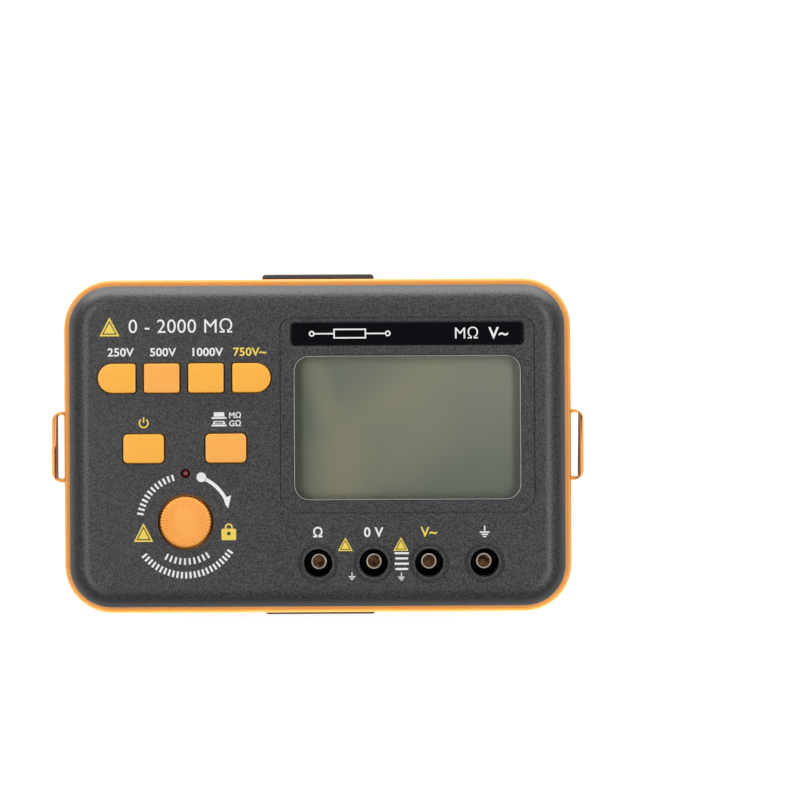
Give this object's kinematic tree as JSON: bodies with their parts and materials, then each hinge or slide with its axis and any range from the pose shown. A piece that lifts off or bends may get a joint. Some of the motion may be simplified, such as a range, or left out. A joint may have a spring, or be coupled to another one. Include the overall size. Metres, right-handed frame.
{
  "type": "insulation resistance tester",
  "caption": "Hand-held insulation resistance tester with a display window, shrouded lead sockets, push-button voltage row and press-and-turn test knob.",
  "frame": {"origin": "centre of the plane the feet stand on", "axes": "+X right along the panel, +Y up the panel, +Z out of the panel"},
  "size_m": [0.1574, 0.1024, 0.071],
  "materials": {
    "case_grey": "fine sand texture",
    "rear_grey": "fine sand texture",
    "band_orange": "satin",
    "button_orange": "satin",
    "knob_orange": "satin, ribbed rim",
    "black_gloss": "glossy",
    "window_clear": "clear, polished",
    "lcd_grey": "polarised display glass",
    "lcd_frame": "matte",
    "zebra_rubber": "matte",
    "board_green": "solder mask",
    "chip_black": "moulded epoxy",
    "ferrite": "fired, matte",
    "nylon": "natural nylon",
    "copper_winding": "enamelled wire",
    "film_red": "dipped",
    "can_blue": "sleeved can",
    "resistor_blue": "lacquer",
    "trimmer_blue": "moulded",
    "switch_black": "moulded",
    "steel": "bright",
    "nickel": "nickel plate",
    "lamp_red": "clear red",
    "sleeve_black": "moulded",
    "cell_jacket": "printed jacket",
    "foot_rubber": "matte",
    "label_silver": "satin film",
    "wire_insulation": "PVC"
  },
  "bodies": {
    "case": {"front_case": "case_grey", "rear_case": "rear_grey", "bumper_band": "band_orange", "case_screws": "steel", "rubber_feet": "foot_rubber", "title_plate": "black_gloss", "display_window": "window_clear", "lcd_glass": "lcd_grey", "lcd_frame": "lcd_frame", "zebra_strips": "zebra_rubber", "display_board": "board_green", "measuring_chip": "chip_black", "main_board": "board_green", "board_screws": "steel", "board_link": "switch_black", "transformer_core": "ferrite", "transformer_bobbin": "nylon", "transformer_winding": "copper_winding", "film_capacitors": "film_red", "electrolytic_capacitors": "can_blue", "converter_chip": "chip_black", "precision_resistors": "resistor_blue", "switching_transistor": "chip_black", "trimmer_pots": "trimmer_blue", "voltage_switch_body": "switch_black", "spring_250v": "steel", "spring_500v": "steel", "spring_1000v": "steel", "spring_750v": "steel", "power_spring": "steel", "power_switch_body": "switch_black", "range_spring": "steel", "range_switch_body": "switch_black", "test_spring": "steel", "test_switch_body": "switch_black", "test_lamp": "lamp_red", "jack_sleeves": "sleeve_black", "jack_contacts": "nickel", "aa_cells": "cell_jacket", "battery_springs": "steel", "battery_plates": "nickel", "battery_wires": "wire_insulation"},
    "button_250": {"button_250v": "button_orange", "plunger_250v": "nylon"},
    "button_500": {"button_500v": "button_orange", "plunger_500v": "nylon"},
    "button_1000": {"button_1000v": "button_orange", "plunger_1000v": "nylon"},
    "button_750": {"button_750v": "button_orange", "plunger_750v": "nylon"},
    "power": {"power_button": "button_orange", "power_plunger": "nylon"},
    "range": {"range_button": "button_orange", "range_plunger": "nylon"},
    "test_plunger": {"test_stem": "nylon"},
    "test_knob": {"test_knob": "knob_orange"},
    "interlock": {"interlock_bar": "steel"},
    "battery_door": {"battery_door": "rear_grey", "door_screws": "steel", "rear_label": "label_silver"}
  },
  "joints": [
    {"name": "press_250v", "type": "slide", "parent": "case", "child": "button_250", "axis": [0, 0, -1], "range_m": [0, 0.003], "stiffness_N_per_m": 150, "springref_m": -0.002, "deforming": ["spring_250v"]},
    {"name": "press_500v", "type": "slide", "parent": "case", "child": "button_500", "axis": [0, 0, -1], "range_m": [0, 0.003], "stiffness_N_per_m": 150, "springref_m": -0.002, "deforming": ["spring_500v"]},
    {"name": "press_1000v", "type": "slide", "parent": "case", "child": "button_1000", "axis": [0, 0, -1], "range_m": [0, 0.003], "stiffness_N_per_m": 150, "springref_m": -0.002, "deforming": ["spring_1000v"]},
    {"name": "press_750v", "type": "slide", "parent": "case", "child": "button_750", "axis": [0, 0, -1], "range_m": [0, 0.003], "stiffness_N_per_m": 150, "springref_m": -0.002, "deforming": ["spring_750v"]},
    {"name": "press_power", "type": "slide", "parent": "case", "child": "power", "axis": [0, 0, -1], "range_m": [0, 0.003], "stiffness_N_per_m": 150, "springref_m": -0.002, "deforming": ["power_spring"]},
    {"name": "press_range", "type": "slide", "parent": "case", "child": "range", "axis": [0, 0, -1], "range_m": [0, 0.003], "stiffness_N_per_m": 150, "springref_m": -0.002, "deforming": ["range_spring"]},
    {"name": "press_test", "type": "slide", "parent": "case", "child": "test_plunger", "axis": [0, 0, -1], "range_m": [0, 0.003], "stiffness_N_per_m": 200, "springref_m": -0.003, "deforming": ["test_spring"]},
    {"name": "turn_test", "type": "hinge", "parent": "test_plunger", "child": "test_knob", "pos_m": [-0.0386, -0.02206, 0.066], "axis": [0, 0, 1], "range_deg": [-60, 0]},
    {"name": "interlock_slide", "type": "slide", "parent": "case", "child": "interlock", "axis": [1, 0, 0], "range_m": [0, 0.0012], "stiffness_N_per_m": 100, "springref_m": -0.0005},
    {"name": "battery_door_off", "type": "slide", "parent": "case", "child": "battery_door", "axis": [0, 0, -1], "range_m": [0, 0.03]}
  ]
}
